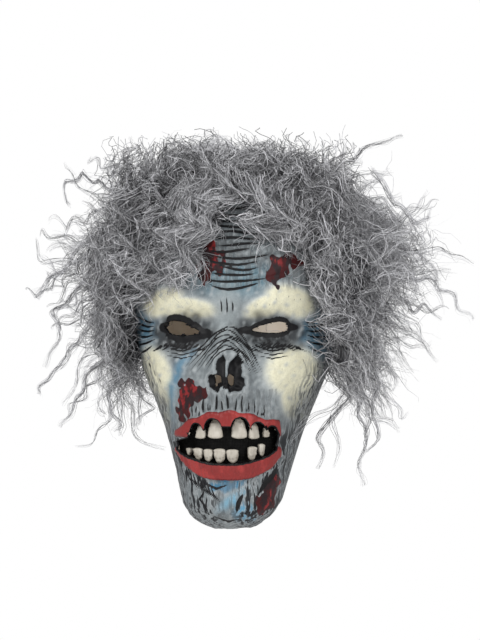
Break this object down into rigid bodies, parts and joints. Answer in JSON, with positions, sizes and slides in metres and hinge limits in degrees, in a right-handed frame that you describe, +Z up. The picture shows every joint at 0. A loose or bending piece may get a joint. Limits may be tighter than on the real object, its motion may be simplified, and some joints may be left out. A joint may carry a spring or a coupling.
{
  "type": "latex halloween mask",
  "caption": "Overhead latex corpse mask with eye holes, separate teeth in an open mouth and frizzy grey hair on sewn wefts.",
  "frame": {"origin": "inside of the crown, where the wearer's head carries the mask", "axes": "+Z up, -Y the way the face looks, +X to the right seen from the front, across the spread of the hair"},
  "size_m": [0.3563, 0.249, 0.3176],
  "materials": {
    "painted_latex": "satin",
    "tooth_enamel": "satin",
    "black_gauze": "matt",
    "weft_tape": "matt",
    "crimped_hair": "satin"
  },
  "bodies": {
    "root": {"hair_crown": "crimped_hair", "latex_skin": "painted_latex", "lower_tooth_1": "tooth_enamel", "lower_tooth_2": "tooth_enamel", "lower_tooth_3": "tooth_enamel", "lower_tooth_4": "tooth_enamel", "lower_tooth_5": "tooth_enamel", "lower_tooth_6": "tooth_enamel", "lower_tooth_7": "tooth_enamel", "mouth_gauze": "black_gauze", "upper_tooth_1": "tooth_enamel", "upper_tooth_2": "tooth_enamel", "upper_tooth_3": "tooth_enamel", "upper_tooth_4": "tooth_enamel", "upper_tooth_5": "tooth_enamel", "weft_back": "weft_tape", "weft_crown": "weft_tape", "weft_fringe_left": "weft_tape", "weft_fringe_right": "weft_tape", "weft_left": "weft_tape", "weft_right": "weft_tape"},
    "section_left": {"hair_left": "crimped_hair", "lock_left_curl": "crimped_hair", "lock_left_curly": "crimped_hair", "lock_left_loop": "crimped_hair", "lock_left_straight": "crimped_hair", "lock_left_tip": "crimped_hair", "lock_left_wisp": "crimped_hair"},
    "section_right": {"hair_right": "crimped_hair", "lock_right_curly": "crimped_hair", "lock_right_front": "crimped_hair", "lock_right_hanging": "crimped_hair", "lock_right_long": "crimped_hair", "lock_right_lower": "crimped_hair", "lock_right_top": "crimped_hair", "lock_right_upper": "crimped_hair"},
    "section_fringe_left": {"hair_fringe_left": "crimped_hair"},
    "section_fringe_right": {"hair_fringe_right": "crimped_hair"},
    "section_back": {"hair_back": "crimped_hair"}
  },
  "joints": [
    {"name": "left_hair_lift", "type": "hinge", "parent": "root", "child": "section_left", "pos_m": [-0.059, -0.002, -0.0175], "axis": [0, 1, 0], "range_deg": [0, 40]},
    {"name": "right_hair_lift", "type": "hinge", "parent": "root", "child": "section_right", "pos_m": [0.059, -0.002, -0.0175], "axis": [0, -1, 0], "range_deg": [0, 40]},
    {"name": "left_fringe_lift", "type": "hinge", "parent": "root", "child": "section_fringe_left", "pos_m": [-0.02725, -0.064, -0.017], "axis": [-1, 0, 0], "range_deg": [0, 40]},
    {"name": "right_fringe_lift", "type": "hinge", "parent": "root", "child": "section_fringe_right", "pos_m": [0.03025, -0.064, -0.017], "axis": [-1, 0, 0], "range_deg": [0, 40]},
    {"name": "back_hair_lift", "type": "hinge", "parent": "root", "child": "section_back", "pos_m": [0, 0.064, -0.016], "axis": [1, 0, 0], "range_deg": [0, 45]}
  ]
}
